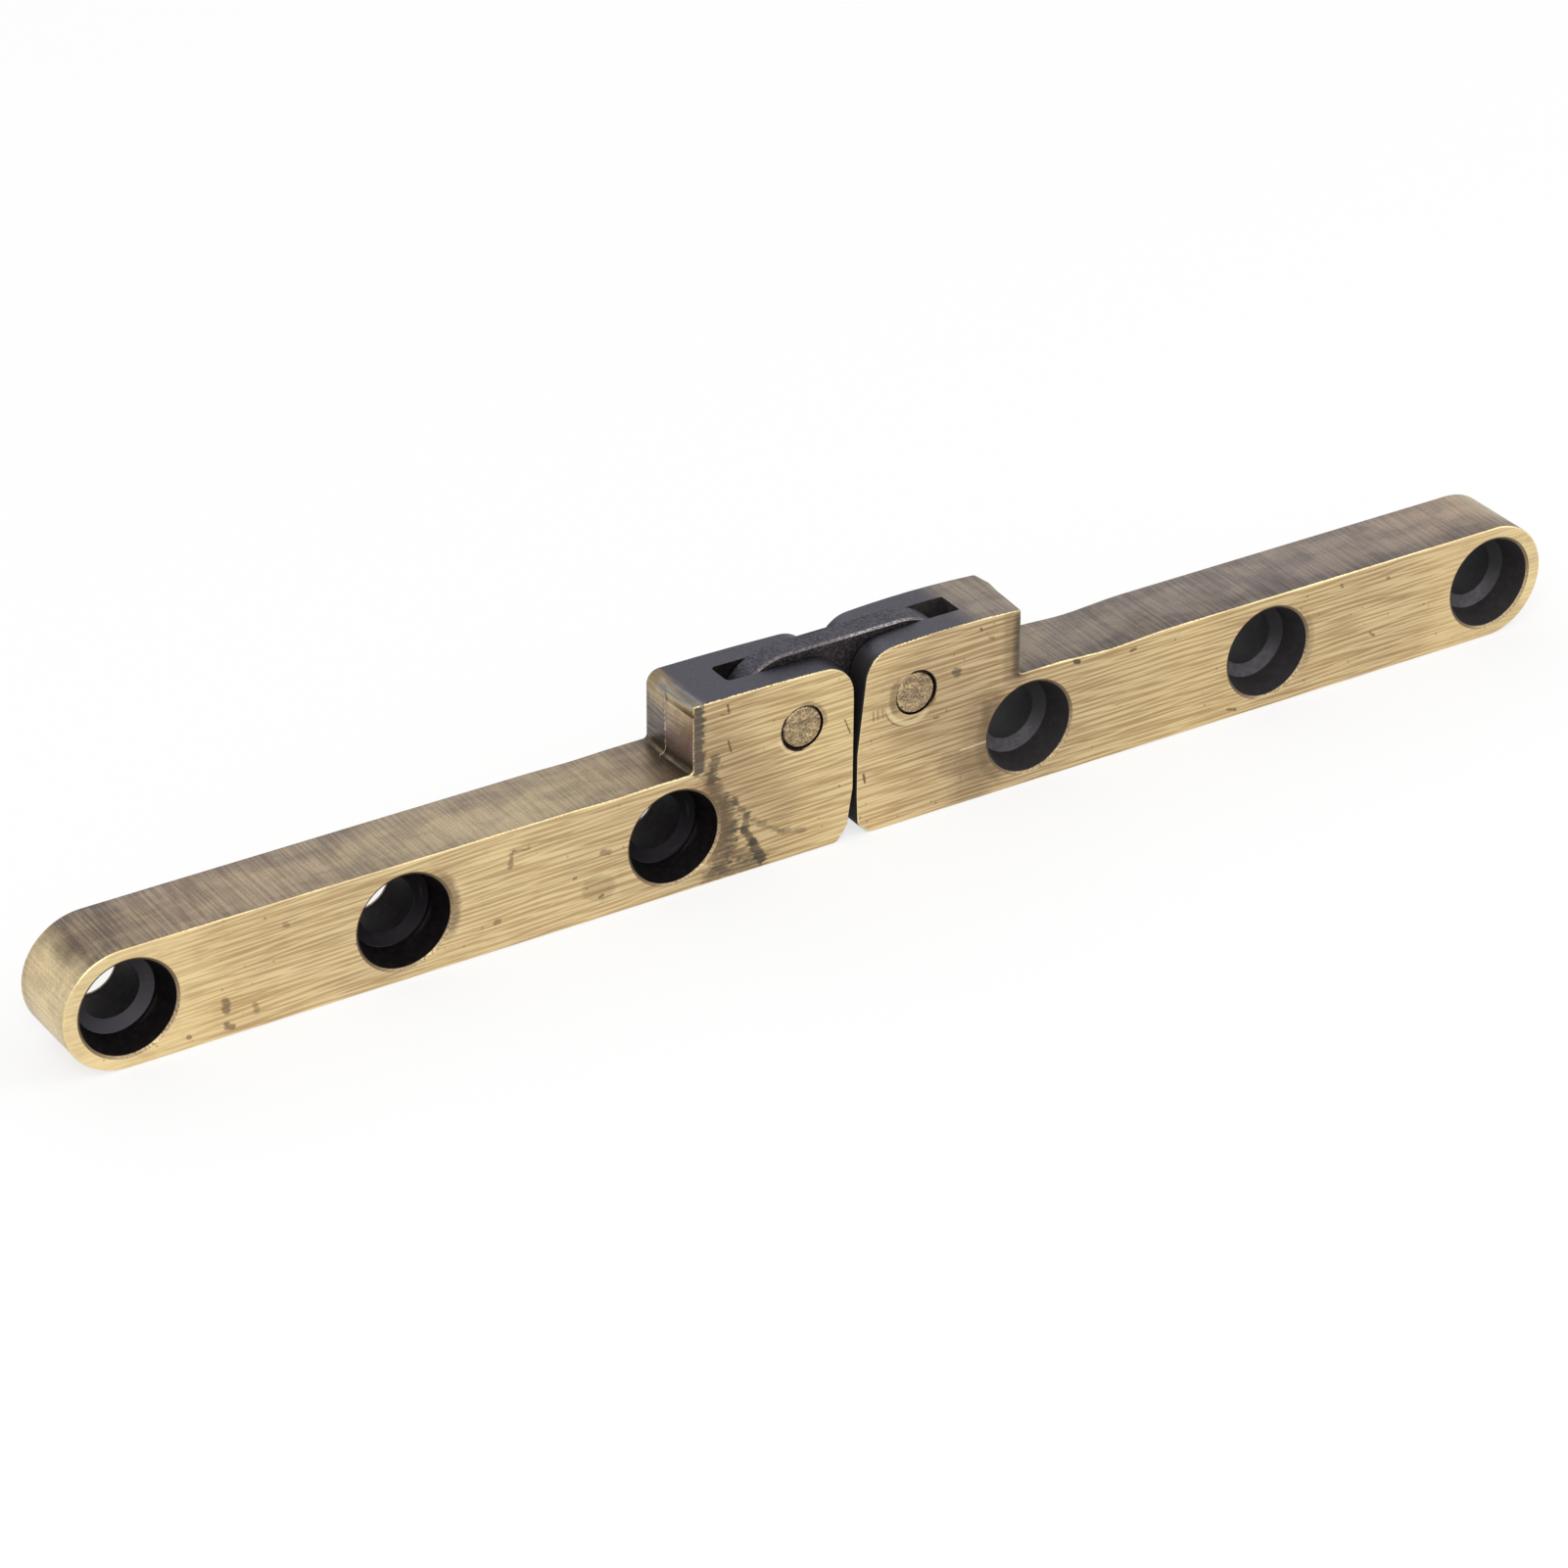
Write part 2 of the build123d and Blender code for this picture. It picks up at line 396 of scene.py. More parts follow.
class Spot:
    """The shaded point of a finish: its place, its normal and the patina there.

    The place is in millimetres of the frame. Place and normal turn with the body
    that the surface rides on.
    """

    def __init__(self, tree: Tree, effects: Effects, cloud_size: float) -> None:
        """Split place, normal and patina into the numbers that the patterns use."""
        given = tree.outputs(tree.add("TexCoord"))
        self.tree = tree
        self.position = tree.scale(given["Object"], 1 / MM)
        self.x, self.y, self.z = tree.parts(self.position)
        self.out = abs(self.x)
        self.nx, self.ny, self.nz = tree.parts(given["Normal"])
        tarnish = tree.use(effects.tarnish, Position=self.position, Cloud_Size=cloud_size)
        self.clouds, self.specks, self.grain = (tarnish[name] for name in ("Clouds", "Specks", "Grain"))

    def noise(self, stretch: Triple, detail: float = 3.0) -> Signal:
        """Rough noise, 0 to 1, with so many swells to a millimetre along each axis."""
        return self.tree.noise(self.tree.vector("MULTIPLY", self.position, stretch), detail, 0.6)


def metal(name: str) -> tuple[bpy.types.Material, Tree, bpy.types.Node]:
    """Start a metal finish.

    Args:
        name: The material's name.

    Returns:
        The material, its Tree and its surface shader.
    """
    material = bpy.data.materials.new(name)
    material.use_nodes = True
    tree = Tree(material.node_tree)
    surface = tree.add("BsdfPrincipled")
    tree.feed(surface, {"Metallic": 1.0})
    tree.feed(tree.add("OutputMaterial"), {"Surface": Signal(tree, surface.outputs["BSDF"])})
    return material, tree, surface


class Mark(Enum):
    """What a stroke does to the surface under it. Some lay painted shade: a dark band along a block's outer
    front edge, and dark arcs beside screw recesses.
    """

    STAIN_AND_SHADE = (72, 66, 62)
    EDGE_SHADE = (68, 67, 71)
    SMOKE = (118, 98, 76)
    SCRATCH = (96, 78, 60)
    GAP = (36, 31, 30)
    BARE = (244, 226, 184)


class FrontMark:
    """What strokes and arcs on the front face have in common."""

    def drawn(self, here: Spot, group: bpy.types.NodeTree, ragged: Signal, **shape: Value) -> Signal:
        """Place the mark's group with its shape and its edge, frayed by noise round 0."""
        edge = {"Half_Width": self.half_width, "Softness": self.softness, "Fray": ragged * (self.fray * 2)}
        return here.tree.use(group, Position=here.position, **shape, **edge)["Mask"] * self.strength


@dataclass(frozen=True)
class Stroke(FrontMark):
    """One stain, scratch, bright rub or band of painted shade along a line, in millimetres of the frame."""

    mark: Mark
    start_x: float
    start_z: float
    end_x: float
    end_z: float
    half_width: float
    softness: float
    fray: float
    strength: float

    def mask(self, here: Spot, effects: Effects, ragged: Signal) -> Signal:
        """Draw the stroke at the shaded point."""
        reach = (self.end_x - self.start_x + 1e-4, 0.0, self.end_z - self.start_z)
        return self.drawn(here, effects.stroke, ragged, Start=(self.start_x, 0.0, self.start_z), Reach=reach)


@dataclass(frozen=True)
class Arc(FrontMark):
    """A mark along part of a ring, in millimetres of the frame.

    It faces a direction, in degrees from +X towards +Z, and reaches the spread,
    in degrees, to both sides of it.
    """

    mark: Mark
    x: float
    z: float
    radius: float
    facing: float
    spread: float
    half_width: float
    softness: float
    fray: float
    strength: float

    def mask(self, here: Spot, effects: Effects, ragged: Signal) -> Signal:
        """Draw the arc at the shaded point."""
        facing, spread = math.radians(self.facing), math.cos(math.radians(self.spread))
        return self.drawn(
            here, effects.arc, ragged, Centre=(self.x, 0.0, self.z), Radius=self.radius, Spread=spread,
            Facing=(math.cos(facing), 0.0, math.sin(facing)),
        )


def marks(mark: Mark, *rows: tuple[float, ...]) -> list[FrontMark]:
    """Read marks of one kind, each row with the fields of an Arc or, if shorter, of a Stroke."""
    arc_numbers = len(fields(Arc)) - 1
    return [(Arc if len(row) == arc_numbers else Stroke)(mark, *row) for row in rows]


@dataclass(frozen=True)
class ScrewRow:
    """Where the screw recesses of a leaf are, in millimetres."""

    first: float
    middle: float
    last: float
    height: float
    mouth_radius: float = 4.4

    @classmethod
    def from_record(cls, record: dict, side: str) -> "ScrewRow":
        """Read the row from the record's two patterns for one leaf.

        Args:
            record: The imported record.
            side: "left" or "right".

        Returns:
            The row, with distances from the joint counted as positive.
        """
        patterns = {mount["name"]: mount for mount in record["mounts"]}
        outer = patterns[f"{side}_outer_screws"]
        inner = patterns[f"{side}_inner_screws"]
        centre = abs(outer["pos_m"][0]) / MM
        half = outer["dims"]["spacing_x_mm"] / 2
        middle = abs(inner["pos_m"][0]) / MM + inner["dims"]["spacing_x_mm"] / 2
        return cls(centre - half, middle, centre + half, outer["pos_m"][2] / MM)


@dataclass(frozen=True)
class LeafFinish:
    """Ground and brushed brass with a dark patina on what the brush did not reach.

    Tones are stops along the leaf, as the distance from the joint in
    millimetres with the colour there. The top tones are darker than the face
    tones, partly patina and partly a painted dark reflection. The shades are
    painted shade that darkens the top towards its front and back edges, from 0
    to 1, and the shoulder shade adds a dark smear to the front near the block.
    The block fade is where, from the joint, the block's top turns from slate to
    brown.
    """

    name: str
    screws: ScrewRow
    face_tones: Tones
    top_tones: Tones
    marks: list[FrontMark]
    block_top_end: Colour
    block_fade: Point
    front_shade: float
    back_shade: float
    streak_slope: float
    tip: Colour
    seat: Colour
    silvered_crest: float = 0.0
    tool_rings: float = 0.0
    recess_metal: float = 0.25
    shoulder_shade: float = 0.0
    tip_dust: float = 0.0
    block_top: Colour = (76, 75, 84)
    reach: float = 76.0

    def build(self, effects: Effects) -> bpy.types.Material:
        """Make the material.

        Args:
            effects: The shared node groups.

        Returns:
            The material, ready to be put on a leaf.
        """
        material, tree, surface = metal(self.name)
        here = Spot(tree, effects, cloud_size=6.0)
        face, face_lines = self._face(here, effects)
        side, side_lines = self._side(here, effects)
        on_face = abs(here.ny).ease(0.62, 0.85)
        colour = self._rim(here, side.coat((on_face, face)))
        colour, hidden = self._recesses(here, effects, colour)
        lines = (on_face * face_lines + ~on_face * side_lines) * ~hidden
        tree.feed(surface, {
            "Base Color": colour,
            "Metallic": 1.0 - hidden * (1.0 - self.recess_metal),
            "Roughness": hidden * 0.22 + 0.46 - lines * 0.12,
            "Normal": tree.relief(lines, strength=0.25, depth=0.02),
        })
        return material

    def _tones(self, here: Spot, tones: Tones) -> Signal:
        """Colour the leaf along its length."""
        stops = tuple((distance / self.reach, colour) for distance, colour in tones)
        return here.tree.ramp(here.out / self.reach, stops)

    def _face(self, here: Spot, effects: Effects) -> tuple[Signal, Signal]:
        """Front and back faces: brushed along the leaf, with stains and scratches, painted shade along the
        blocks' outer edges and beside the screw recesses, and a painted highlight towards the left tip.
        """
        tree = here.tree
        levelled = tree.vector("SUBTRACT", here.position, tree.combine(z=here.x * self.streak_slope))
        brushed = tree.use(effects.brush_marks, Position=levelled, Stretch=(0.17, 1.0, 4.4), Bow=0.05)
        lines, streaks, bands = (brushed[name] for name in ("Lines", "Streaks", "Bands"))
        blotches = here.noise((0.4, 1.0, 0.8)).ease(0.48, 0.68)
        depth = here.out.ease(70.0, 58.0) * 0.60 + 0.40
        colour = self._tones(here, self.face_tones).coat(
            (~here.clouds * 0.20, (152, 124, 98)),
            (blotches * 0.22, (168, 128, 92)),
            (~bands * 0.08, (146, 118, 84)),
            (~streaks * depth * 0.10, (136, 104, 68)),
            (streaks * depth * 0.08, (254, 232, 178)),
            (~lines * depth * 0.28, (140, 112, 78)),
            (lines * depth * 0.34, (255, 238, 188)),
            (here.specks * 0.55, (104, 84, 66)),
        )
        ragged = here.noise((1.2, 1.0, 3.2)) - 0.5
        front = here.y.ease(0.5, -0.5)
        drawn = ((mark.mask(here, effects, ragged) * front, mark.mark.value) for mark in self.marks)
        return colour.coat(*drawn), lines

    def _side(self, here: Spot, effects: Effects) -> tuple[Signal, Signal]:
        """Tops, ends and undersides: brushed across the leaf over a brown patina, with painted shade and a
        painted dark reflection on the tops.
        """
        tree, clouds, grain = here.tree, here.clouds, here.grain
        brushing = tree.use(effects.brush_marks, Position=here.position, Stretch=(3.6, 0.20, 3.6), Bow=0.2)
        lines, bands = brushing["Lines"], brushing["Bands"]
        wander = here.y.waver(clouds, 2.4)
        # Painted shade darkens the top towards its front and back edges; the right leaf's front also takes a
        # dark smear near the block
        front_shade = here.out.ease(38.0, 27.0) * self.shoulder_shade + self.front_shade
        tone = self._tones(here, self.top_tones).coat(
            (wander.ease(0.6, -3.8) * front_shade, (80, 75, 80)),
            (wander.ease(0.4, 3.6) * self.back_shade, (104, 96, 100)),
        )

        # The round tip is light brass below its shoulder, a little darker towards the back
        tip = here.out.ease(69.8, 71.4) * here.nz.waver(clouds, 0.14).ease(0.95, 0.62)
        tip_tone = tree.blend(here.y.ease(0.0, 3.6) * 0.35, self.tip, (158, 138, 110))

        # The block: slate-dark top and shoulder, partly a painted dark reflection, browner towards its outer
        # end
        on_top = here.z.ease(15.0, 16.4) * here.nz.ease(0.25, 0.75)
        by_joint = here.z.ease(11.6, 12.4) * here.out.ease(15.4, 14.6)
        on_block = on_top | by_joint
        faded = (here.out + clouds * 0.8).ease(*self.block_fade)
        tone = tone.coat((tip, tip_tone), (on_block, tree.blend(faded, self.block_top, self.block_top_end)))

        tone = self._block_end(here, tone)
        tone = self._crest(here, tone)
        brushed = ~(on_block * ~faded)
        patches = here.noise((0.22, 0.45, 0.3)).ease(0.38, 0.62)
        colour = tone.coat(
            (~lines * brushed * 0.12, (60, 50, 42)),
            (lines * brushed * 0.10, (226, 202, 156)),
            (~bands * brushed * 0.06, (92, 82, 78)),
            (grain.ease(0.56, 0.36) * 0.22, (52, 48, 50)),
            (grain.ease(0.54, 0.70) * 0.16, (138, 134, 138)),
            (~patches * brushed * 0.26, (94, 80, 68)),
            (patches * brushed * 0.10, (204, 180, 134)),
        )
        return colour, lines * brushed

    @staticmethod
    def _block_end(here: Spot, tone: Signal) -> Signal:
        """Outer end of the block: brassy at the top, purple-brown towards its foot, with painted shade along
        the foot and in the crease under it.
        """
        end_face = abs(here.nx).ease(0.55, 0.8) * here.out.band(15.0, 15.6, 18.5, 20.0)
        share = (here.z.waver(here.clouds, 1.4) - 11.0) / 8.0
        front_tone = here.tree.ramp(share, (
            (0.0, (98, 88, 86)), (0.14, (134, 118, 116)), (0.32, (182, 160, 160)),
            (0.48, (180, 157, 136)), (0.64, (214, 190, 150)), (0.78, (200, 182, 146)),
        ))
        back_tone = here.tree.ramp(share, (
            (0.0, (74, 70, 72)), (0.16, (82, 77, 80)), (0.32, (98, 91, 92)),
            (0.50, (118, 108, 98)), (0.64, (172, 154, 122)), (0.78, (172, 156, 124)),
        ))
        # Painted shade along the foot of the end, darker still in the crease where it meets the bar
        foot = here.z.ease(12.3, 11.7) * here.out.band(15.8, 16.3, 16.9, 18.2)
        corner = foot * here.nz.band(0.15, 0.35, 0.96, 0.995)
        return tone.coat(
            (end_face, front_tone.coat((here.y.ease(0.2, 0.4), back_tone))),
            (foot * 0.7, (60, 53, 51)),
            (corner * 0.85, (34, 30, 30)),
        )

    def _crest(self, here: Spot, tone: Signal) -> Signal:
        """The crest of the block's outer end.

        A brassy band lies on the top beside it, wider towards the back, and a
        thin silvery smear on the crest fades behind the parting line.
        """
        crest = here.z.ease(15.4, 15.9) * here.out.band(14.8, 15.3, 18.0, 19.0)
        spread = here.out + here.y * 0.24 + here.clouds * 0.3
        rubbed = crest * spread.ease(15.55, 16.05) * here.nz.ease(0.35, 0.60)
        wavering = here.nz.waver(here.grain, 0.5)
        before_seam = here.y.ease(2.6, 0.4) * here.ny.ease(-0.8, -0.5)
        silver = crest * wavering.band(0.10, 0.30, 0.88, 0.99) * before_seam
        return tone.coat(
            (rubbed * (self.silvered_crest * 0.6), (146, 126, 92)),
            (silver * (self.silvered_crest * 0.85), (140, 146, 152)),
        )

    @staticmethod
    def _rim(here: Spot, colour: Signal) -> Signal:
        """The broken edge of the front face: a painted highlight all along its rounding, stronger where it is
        rubbed bright here and there.
        """
        patchy = here.grain.ease(0.34, 0.58)
        on_bar = here.z.ease(11.6, 11.3)
        wide = here.ny.band(-0.985, -0.90, -0.60, -0.35) * on_bar
        thin = here.ny.band(-0.95, -0.82, -0.55, -0.35) * ~on_bar * patchy
        # Painted highlight along the rounding, stronger in patches where the edge is rubbed bright
        wear_and_highlight = patchy * here.clouds.ease(0.1, 0.9) * 0.5 + 0.32
        return colour.coat(((wide + thin) * wear_and_highlight, (248, 226, 172)))

    def _recesses(self, here: Spot, effects: Effects, colour: Signal) -> tuple[Signal, Signal]:
        """Screw recesses and the link's slot.

        The recess walls and the slot are painted nearly black as shade, and the
        conical seat is a dull grey, painted dark as shade and lighter on its lower,
        lit side. The faces in the joint gap are painted dark as shade too. The broken
        edge of the mouth is brown, with a painted highlight at the lower right where
        its bevel faces the light, rubbed a little brighter there.

        Returns:
            The colour, and a mask of the hidden surfaces.
        """
        tree, row = here.tree, self.screws
        nearest = tree.use(
            effects.nearest_recess, Position=here.position, First=row.first, Middle=row.middle,
            Last=row.last, Height=row.height,
        )
        radius, offset = nearest["Radius"], nearest["Offset"]
        edge = row.mouth_radius

        # Painted highlight at the lower right of the mouth, where its bevel faces the light, patchy as rubbed
        # brass
        lower_right = tree.vector("DOT_PRODUCT", offset, (0.66, 0.0, -0.75)) / radius
        mouth = radius.band(edge - 0.10, edge - 0.04, edge + 0.17, edge + 0.24) * here.y.ease(0.0, -1.0)
        wear_and_highlight = lower_right.ease(0.35, 0.95) * here.grain.ease(0.30, 0.60)
        mouth_tone = tree.blend(wear_and_highlight * 0.8, (112, 94, 76), (196, 174, 136))

        # Painted shade: the recess walls are near black and the seat dark grey, painted lighter on its lower
        # side as lit
        inside = radius.ease(edge, edge - 0.07) * here.y.ease(3.75, 3.6)
        seat = here.ny.ease(-0.55, -0.72) * here.y.ease(-1.5, -1.2)
        smear = here.noise((1.6, 1.6, 1.6)).ease(0.35, 0.75)
        deep = tree.blend(smear * 0.6, (27, 24, 26), (44, 40, 40))
        downward = tree.vector("DOT_PRODUCT", offset, (-0.3, 0.0, -0.95)) / radius
        lit = downward.ease(-0.3, 0.8) * (smear * 0.45 + 0.55)
        dusty = here.out.ease(60.0, 66.0) * self.tip_dust
        dull = tree.blend(lit, (34, 32, 35), self.seat).coat((dusty, (84, 81, 86)))
        turned = tree.noise(tree.combine(x=radius * 5.0, y=downward * 0.8), 2.0)
        rings = turned.ease(0.56, 0.68) * here.y.ease(-2.2, -1.0)
        recess = deep.coat((seat, dull), (rings * self.tool_rings, (118, 104, 92)))

        # Painted shade: the slot and the faces in the joint gap are dark
        walls = here.nz.ease(0.6, 0.3) | here.z.ease(9.0, 8.0)
        slot = abs(here.y).ease(1.44, 1.41) * here.out.ease(13.0, 12.6) * here.z.ease(5.8, 6.2) * walls
        gap = abs(here.nx).ease(0.5, 0.8) * here.out.ease(5.0, 3.0)
        colour = colour.coat(
            (mouth * 0.9, mouth_tone),
            (inside, recess),
            (slot, tree.blend(smear, (40, 36, 36), (62, 55, 54))),
            (gap, (34, 30, 30)),
        )
        return colour, inside | slot | gap


@dataclass(frozen=True)
class LinkFinish:
    """Dark cast brass, pitted, with its corners lighter: rubbed by use, with a painted highlight along their
    rounding.
    """

    name: str = "link_dark"
    body: Colour = (76, 75, 84)
    flank: Colour = (70, 64, 64)
    wear_and_highlight: Colour = (176, 168, 166)

    def build(self, effects: Effects) -> bpy.types.Material:
        """Make the material."""
        material, tree, surface = metal(self.name)
        here = Spot(tree, effects, cloud_size=1.6)
        across = abs(here.ny)
        pitted = here.noise((4.2, 4.2, 4.2), 1.0)
        handled = here.x.band(-2.5, 2.0, 6.0, 8.0)
        # The edge rounding is lighter: partly rubbed, partly a painted highlight
        edge_rub_and_highlight = across.band(0.35, 0.6, 0.75, 0.92) * (here.grain.ease(0.44, 0.60) * 0.75 + 0.25)
        colour = tree.blend(across.ease(0.8, 0.95), self.body, self.flank).coat(
            (here.clouds * 0.45, (56, 53, 56)),
            (pitted.ease(0.50, 0.66) * 0.30, (122, 117, 122)),
            (pitted.ease(0.46, 0.32) * 0.45, (36, 34, 38)),
            (edge_rub_and_highlight * handled * 0.9, self.wear_and_highlight),
            (edge_rub_and_highlight * ~handled * 0.6, (138, 128, 122)),
        )
        relief = tree.relief(pitted, strength=0.7, depth=0.09)
        tree.feed(surface, {"Base Color": colour, "Roughness": 0.55, "Normal": relief})
        return material


@dataclass(frozen=True)
class PinFinish:
    """A pin filed flush: mottled brass end, dark at its edge and flank."""

    name: str = "pin_brass"
    bright: Colour = (206, 180, 136)
    dull: Colour = (150, 128, 104)

    def build(self, effects: Effects) -> bpy.types.Material:
        """Make the material."""
        material, tree, surface = metal(self.name)
        here = Spot(tree, effects, cloud_size=0.9)
        filed = tree.use(effects.brush_marks, Position=here.position, Stretch=(1.2, 1.0, 3.2), Bow=3.0)
        mottled = tree.blend(here.clouds, self.bright, self.dull).coat(
            (~filed["Lines"] * 0.45, (86, 72, 64)),
            (here.grain.ease(0.48, 0.36) * 0.75, (86, 76, 68)),
            (here.grain.ease(0.54, 0.66) * 0.6, (244, 222, 174)),
        )
        colour = tree.blend(abs(here.ny).ease(0.35, 0.75), (44, 38, 36), mottled)
        relief = tree.relief(here.grain, strength=0.5, depth=0.05)
        tree.feed(surface, {"Base Color": colour, "Roughness": 0.46, "Normal": relief})
        return material


def dress(piece: bpy.types.Object, material: bpy.types.Material) -> None:
    """Put one material on all of a piece."""
    piece.data.materials.clear()
    piece.data.materials.append(material)


# Face tones: the lighter stops towards the left tip are a painted highlight
FACE_LEFT = (
    (0.0, (226, 199, 145)), (3.0, (222, 194, 140)), (7.0, (210, 180, 131)), (11.0, (198, 168, 124)),
    (15.0, (192, 162, 121)), (24.0, (214, 185, 138)), (32.0, (222, 194, 145)), (48.0, (220, 192, 144)),
    (60.0, (220, 189, 138)), (65.0, (240, 213, 158)), (74.0, (248, 224, 170)),
)
FACE_RIGHT = (
    (0.0, (222, 192, 142)), (3.0, (214, 184, 135)), (7.0, (192, 162, 120)), (11.0, (182, 153, 115)),
    (15.0, (176, 148, 112)), (24.0, (190, 163, 122)), (34.0, (210, 180, 129)), (46.0, (198, 170, 125)),
    (58.0, (196, 167, 125)), (64.0, (220, 191, 141)), (74.0, (236, 212, 160)),
)
# Top tones are darker than the face tones, partly patina and partly a painted dark reflection
TOP_LEFT = (
    (0.0, (90, 86, 92)), (14.0, (96, 88, 80)), (19.0, (136, 120, 102)), (24.0, (163, 146, 121)),
    (30.0, (176, 160, 130)), (38.0, (174, 157, 130)), (46.0, (154, 139, 116)), (56.0, (148, 131, 112)),
    (64.0, (142, 124, 106)), (69.0, (104, 90, 78)), (73.0, (110, 96, 82)),
)
TOP_RIGHT = (
    (0.0, (86, 84, 92)), (16.0, (110, 100, 96)), (19.0, (126, 115, 106)), (24.0, (138, 128, 122)),
    (29.0, (120, 112, 112)), (38.0, (131, 122, 120)), (50.0, (132, 122, 121)), (60.0, (144, 131, 126)),
    (68.0, (168, 150, 136)), (74.0, (190, 170, 140)),
)

# Later marks lie over earlier ones, so the order of the rows counts
LEFT_MARKS = [
    # Painted shade along the block's outer front edge
    *marks(Mark.EDGE_SHADE, (-15.95, 17.2, -15.95, 11.6, 0.45, 0.50, 0.8, 0.82)),
    *marks(
        Mark.STAIN_AND_SHADE,
        (-14.2, 11.9, -14.4, 10.2, 0.30, 0.45, 0.9, 0.62), (-14.9, 10.6, -13.2, 7.4, 0.25, 0.7, 1.2, 0.55),
        (-13.0, 7.2, -12.8, 4.6, 0.45, 0.8, 1.3, 0.60), (-12.8, 4.6, -13.6, 1.4, 0.50, 0.9, 1.5, 0.55),
        (-12.4, 7.5, -10.9, 5.6, 0.08, 0.30, 0.6, 0.50), (-10.9, 5.6, -11.3, 4.2, 0.25, 0.30, 0.6, 0.62),
        (-11.3, 4.2, -10.4, 2.8, 0.22, 0.30, 0.5, 0.70), (-10.4, 2.8, -9.5, 0.7, 0.28, 0.35, 0.5, 0.75),
        (-14.6, 0.7, -9.8, 0.7, 0.35, 0.9, 1.4, 0.55), (-12.6, 2.6, -10.8, 1.6, 0.30, 0.9, 1.4, 0.45),
        (-10.6, 5.0, -7.6, 3.0, 0.08, 0.30, 0.7, 0.45),
    ),
    *marks(
        Mark.SMOKE,
        (-7.6, 3.0, -5.2, 2.3, 0.12, 0.35, 0.8, 0.50), (-14.2, 13.5, -8.0, 6.0, 1.0, 2.6, 1.0, 0.22),
    ),
    *marks(
        Mark.SCRATCH,
        (-12.95, 16.9, -12.8, 16.1, 0.05, 0.08, 0.1, 0.75), (-13.6, 16.1, -12.8, 16.0, 0.04, 0.08, 0.1, 0.55),
        (-12.9, 13.5, -12.6, 12.3, 0.05, 0.08, 0.1, 0.75), (-1.15, 12.0, -0.6, 10.6, 0.04, 0.07, 0.1, 0.80),
        (-25.2, 6.3, -24.7, 6.2, 0.18, 0.25, 0.4, 0.50), (-25.6, 2.1, -25.3, 2.2, 0.08, 0.14, 0.2, 0.70),
    ),
    *marks(Mark.SMOKE, (-26.2, 3.2, -25.2, 2.8, 0.9, 0.5, 0.5, 0.28)),
    *marks(Mark.SCRATCH, (-28.1, 4.7, -27.9, 4.7, 0.09, 0.14, 0.2, 0.60)),
    *marks(
        Mark.SMOKE,
        (-33.9, 9.1, -34.2, 7.8, 0.10, 0.25, 0.5, 0.60), (-33.9, 9.1, -32.4, 9.0, 0.06, 0.20, 0.4, 0.45),
    ),
    *marks(Mark.SCRATCH, (-35.7, 2.8, -35.4, 2.8, 0.14, 0.20, 0.3, 0.55)),
    *marks(
        Mark.SMOKE,
        (-60.9, 3.4, -60.9, 2.6, 0.22, 0.30, 0.4, 0.70), (-60.9, 1.1, -60.4, 0.8, 0.16, 0.25, 0.4, 0.75),
        (-58.3, 2.3, -58.1, 1.6, 0.12, 0.30, 0.4, 0.50),
    ),
    *marks(
        Mark.SCRATCH,
        (-64.4, 1.15, -64.3, 1.1, 0.12, 0.16, 0.2, 0.60), (-55.3, 8.9, -55.0, 8.8, 0.12, 0.18, 0.3, 0.40),
    ),
    *marks(
        Mark.SMOKE,
        # Painted shade beside the screw recesses
        (-18.2, 5.6, 4.75, 5, 55, 0.25, 0.8, 0.5, 0.75), (-44.2, 5.6, 4.70, 8, 50, 0.20, 0.6, 0.5, 0.65),
    ),
    *marks(
        Mark.GAP,
        (-5.4, 12.5, 2.12, 205, 75, 0.06, 0.07, 0.05, 1.0), (-5.4, 12.5, 2.06, 90, 60, 0.02, 0.07, 0.05, 0.8),
    ),
    *marks(Mark.BARE, (-5.4, 12.5, 2.45, 245, 60, 0.05, 0.15, 0.1, 0.45)),
    *marks(Mark.SMOKE, (-5.4, 12.5, 2.20, 40, 60, 0.10, 0.25, 0.2, 0.5)),
]
